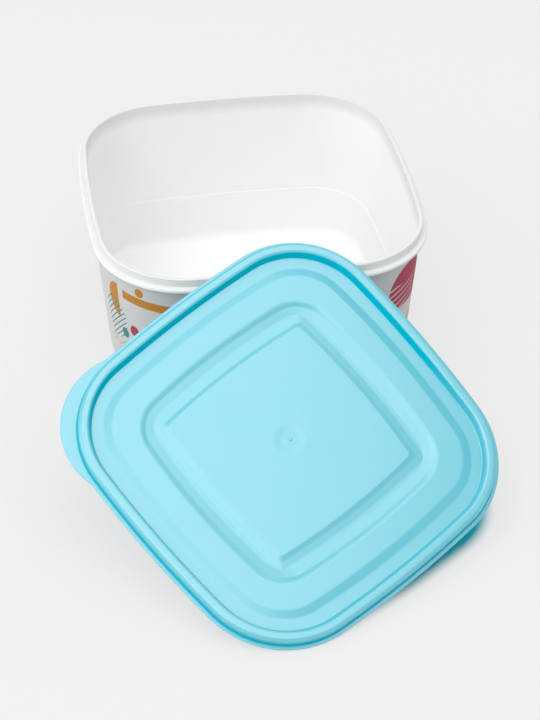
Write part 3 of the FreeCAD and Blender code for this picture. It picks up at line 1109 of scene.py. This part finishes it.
@dataclass(frozen=True)
class Studio:
    """Floor, light and camera.

    Attributes:
        ground: Linear grey of the floor and of the air behind it.
        shade: How much of the floor's own shading the camera sees away from the strip.
        albedo: The floor's own linear grey.
        tint: Linear colour of the painted shadow, in the lid's colour, on the strip of floor.
        side: The side of the lid where that painted shadow lies, as a unit vector on the floor.
        fade: Distance inside the lid's footprint over which the strip comes in, in metres.
        reach: Distance inside the footprint where the strip ends, in metres.
        tail: Distance over which it fades out before that, in metres.
        turn_from: Cosine of the angle off that side where the strip starts.
        turn_over: How much the cosine grows until the strip has its full strength.
        eye: Where the camera stands, in metres.
        lens: Its focal length, in mm.
        facing: Its turn, its pitch and its roll, in degrees.
        aim: Where the lights point, in metres.
    """

    ground: float = 0.863
    shade: float = 0.25
    albedo: float = 0.80
    tint: tuple[float, float, float] = (0.02, 0.50, 0.60)
    side: tuple[float, float] = (0.87, -0.5)
    fade: float = 0.006
    reach: float = 0.035
    tail: float = 0.025
    turn_from: float = 0.45
    turn_over: float = 0.45
    eye: tuple[float, float, float] = (-0.1343, -0.8142, 0.6288)
    lens: float = 99.37
    facing: tuple[float, float, float] = (10.19, 38.51, 0.90)
    aim: tuple[float, float, float] = (0.0, -0.05, 0.04)

    def strip(self, spots: np.ndarray, lid_points: np.ndarray) -> np.ndarray:
        """How strongly spots on the floor take the painted shadow in the lid's colour.

        A spot's distance past the lid's footprint is the largest of its distances past lines
        that touch the footprint, one line for each of many directions.

        Args:
            spots: Places on the floor, of shape (n, 2), in metres.
            lid_points: Points of the lid, in metres.

        Returns:
            Shares from 0 to 1, of shape (n,).
        """
        foot = lid_points.reshape(-1, 3)[:, :2]
        angle = np.linspace(0.0, 2 * math.pi, 72, endpoint=False)
        facing = np.stack((np.cos(angle), np.sin(angle)))
        past = (spots @ facing - (foot @ facing).max(axis=0)).max(axis=1)
        away = spots - foot.mean(axis=0)
        cosine = away @ np.array(self.side) / np.maximum(np.linalg.norm(away, axis=1), 1e-6)
        inside = np.clip(-past / self.fade, 0.0, 1.0)
        near = np.clip((self.reach + past) / self.tail, 0.0, 1.0)
        return inside * near * np.clip((cosine - self.turn_from) / self.turn_over, 0.0, 1.0)

    def floor(self, lid_points: np.ndarray) -> None:
        """A wide pale floor, with a painted shadow in the lid's colour on a strip just inside the lid's
        footprint.

        Args:
            lid_points: Points of the lid, in metres.
        """
        line = np.concatenate(([-6.0], np.linspace(-0.3, 0.3, 241), [6.0]))
        count = len(line)
        spots = np.stack(np.meshgrid(line, line), axis=2).reshape(-1, 2)
        mesh = bpy.data.meshes.new("floor")
        step = np.arange((count - 1) * count).reshape(-1, count)[:, :-1].reshape(-1, 1)
        quads = step + np.array((0, 1, count + 1, count))
        mesh.from_pydata(np.pad(spots, ((0, 0), (0, 1))), [], quads)
        # The painted shadow's share at each spot.
        near = mesh.attributes.new("near", "FLOAT", "POINT")
        near.data.foreach_set("value", self.strip(spots, lid_points))
        floor = bpy.data.objects.new("floor", mesh)
        bpy.context.scene.collection.objects.link(floor)
        mesh.materials.append(self.floor_material())

    def floor_material(self) -> bpy.types.Material:
        """The floor's material: for the camera, mostly plain ground colour away from the strip.

        Returns:
            The material.
        """
        material = bpy.data.materials.new("floor")
        material.use_nodes = True
        tree = material.node_tree
        shader = tree.nodes["Principled BSDF"]
        shader.inputs["Roughness"].default_value = 1.0
        shader.inputs["Specular IOR Level"].default_value = 0.0
        plain = tree.nodes.new("ShaderNodeEmission")
        plain.inputs["Color"].default_value = (self.ground, self.ground, self.ground, 1.0)
        path = tree.nodes.new("ShaderNodeLightPath")
        mark = tree.nodes.new("ShaderNodeAttribute")
        mark.attribute_name = "near"
        # Painted shadow: in the strip the floor's colour turns to the lid's colour, and the camera sees
        # the floor's real shading there too.
        tint = tree.nodes.new("ShaderNodeMix")
        tint.data_type = "RGBA"
        tint.inputs["A"].default_value = (self.albedo, self.albedo, self.albedo, 1.0)
        tint.inputs["B"].default_value = (*self.tint, 1.0)
        tree.links.new(mark.outputs["Fac"], tint.inputs["Factor"])
        tree.links.new(tint.outputs["Result"], shader.inputs["Base Color"])
        plain_share = Field(tree, mark.outputs["Fac"]) * -(1.0 - self.shade) + (1.0 - self.shade)
        amount = plain_share * Field(tree, path.outputs["Is Camera Ray"])
        mix = tree.nodes.new("ShaderNodeMixShader")
        tree.links.new(amount.socket, mix.inputs[0])
        tree.links.new(shader.outputs[0], mix.inputs[1])
        tree.links.new(plain.outputs[0], mix.inputs[2])
        tree.links.new(mix.outputs[0], tree.nodes["Material Output"].inputs[0])
        return material

    def world(self, light: float) -> None:
        """Even light from all round, and the plain ground colour for the camera.

        Args:
            light: Strength of the light.
        """
        world = bpy.data.worlds.new("studio")
        bpy.context.scene.world = world
        world.use_nodes = True
        tree = world.node_tree
        lit = tree.nodes["Background"]
        lit.inputs["Color"].default_value = (1.0, 1.0, 1.0, 1.0)
        lit.inputs["Strength"].default_value = light
        seen = tree.nodes.new("ShaderNodeBackground")
        seen.inputs["Color"].default_value = (self.ground, self.ground, self.ground, 1.0)
        path = tree.nodes.new("ShaderNodeLightPath")
        mix = tree.nodes.new("ShaderNodeMixShader")
        tree.links.new(path.outputs["Is Camera Ray"], mix.inputs[0])
        tree.links.new(lit.outputs[0], mix.inputs[1])
        tree.links.new(seen.outputs[0], mix.inputs[2])
        tree.links.new(mix.outputs[0], tree.nodes["World Output"].inputs[0])

    def panel(
        self, name: str, position: tuple[float, float, float], size: float, power: float
    ) -> None:
        """A square soft light aimed at the object.

        Args:
            name: The light's name.
            position: Where it stands, in metres.
            size: Its width, in metres.
            power: Its power, in watts.
        """
        data = bpy.data.lights.new(name, "AREA")
        data.shape = "SQUARE"
        data.size = size
        data.energy = power
        light = bpy.data.objects.new(name, data)
        light.location = position
        toward = Vector(self.aim) - light.location
        light.rotation_euler = toward.to_track_quat("-Z", "Y").to_euler()
        bpy.context.scene.collection.objects.link(light)

    def camera(self) -> None:
        """The camera, from its place, its pitch and turn, and a small roll."""
        data = bpy.data.cameras.new("camera")
        data.lens = self.lens
        data.sensor_width = 36.0
        data.sensor_fit = "AUTO"
        data.clip_end = 20.0
        camera = bpy.data.objects.new("camera", data)
        camera.location = self.eye
        turn, pitch, roll = (math.radians(angle) for angle in self.facing)
        facing = Matrix.Rotation(-turn, 3, "Z") @ Matrix.Rotation(math.pi / 2 - pitch, 3, "X")
        camera.rotation_euler = (facing @ Matrix.Rotation(roll, 3, "Z")).to_euler()
        bpy.context.scene.collection.objects.link(camera)
        bpy.context.scene.camera = camera


def setup_view() -> None:
    """Plain colour handling, and how often light bounces."""
    scene = bpy.context.scene
    scene.view_settings.view_transform = "Standard"
    scene.cycles.max_bounces = 8


def main() -> None:
    """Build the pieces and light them."""
    logging.basicConfig(level=logging.INFO)
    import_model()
    tub, lid = Tub(), Lid()
    tub_rings = rings(tub.section()) * MM
    tub_skin = Skin("tub_skin", tub_rings, np.zeros(tub_rings.shape[:2]))
    lean = Lean()
    section = lid.section()[::-1]
    leaning = lean.bent(rings(section, lid.tab()), lid) @ lean.rotation(lid, tub).T * MM
    lid_points = seat(leaning, "lid")
    lid_skin = Skin("lid_skin", lid_points, lid.depth(section, lid_points))

    white = Finish(
        name="white_plastic",
        colour=(0.92, 0.93, 0.92),
        roughness=0.6,
        ior=1.49,
        shine=0.25,
        mottle=0.012,
        grain=0.004,
        through=0.03,
        groove_shade=(0.92, 0.93, 0.92),
        rim_shade=0.83,
    )
    turquoise = Finish(
        name="turquoise_plastic",
        colour=(0.085, 0.57, 0.70),
        roughness=0.36,
        ior=2.0,
        shine=0.8,
        mottle=0.06,
        grain=0.012,
        through=0.1,
        groove_shade=(0.0, 0.52, 0.68),
        rim_shade=1.0,
    )
    tub_material = white.material()
    Print(perimeter=574.0, start=399.0, outside_shade=0.66).apply(tub_material)
    place(tub_skin.build(), "tub", tub_material)
    place(lid_skin.build(), "lid", turquoise.material())

    studio = Studio()
    studio.floor(lid_points)
    studio.world(0.56)
    studio.panel("above", (-0.2, -0.45, 1.9), 2.0, 20.0)
    studio.panel("front_left", (-1.1, -1.1, 1.3), 1.2, 6.5)
    studio.panel("front_right", (1.1, -1.1, 1.3), 1.2, 1.5)
    studio.panel("back_right", (1.1, 1.1, 1.3), 1.2, 4.5)
    studio.panel("left", (-1.9, 0.0, 0.5), 1.2, 9.0)
    studio.camera()
    setup_view()


if __name__ == "__main__":
    main()
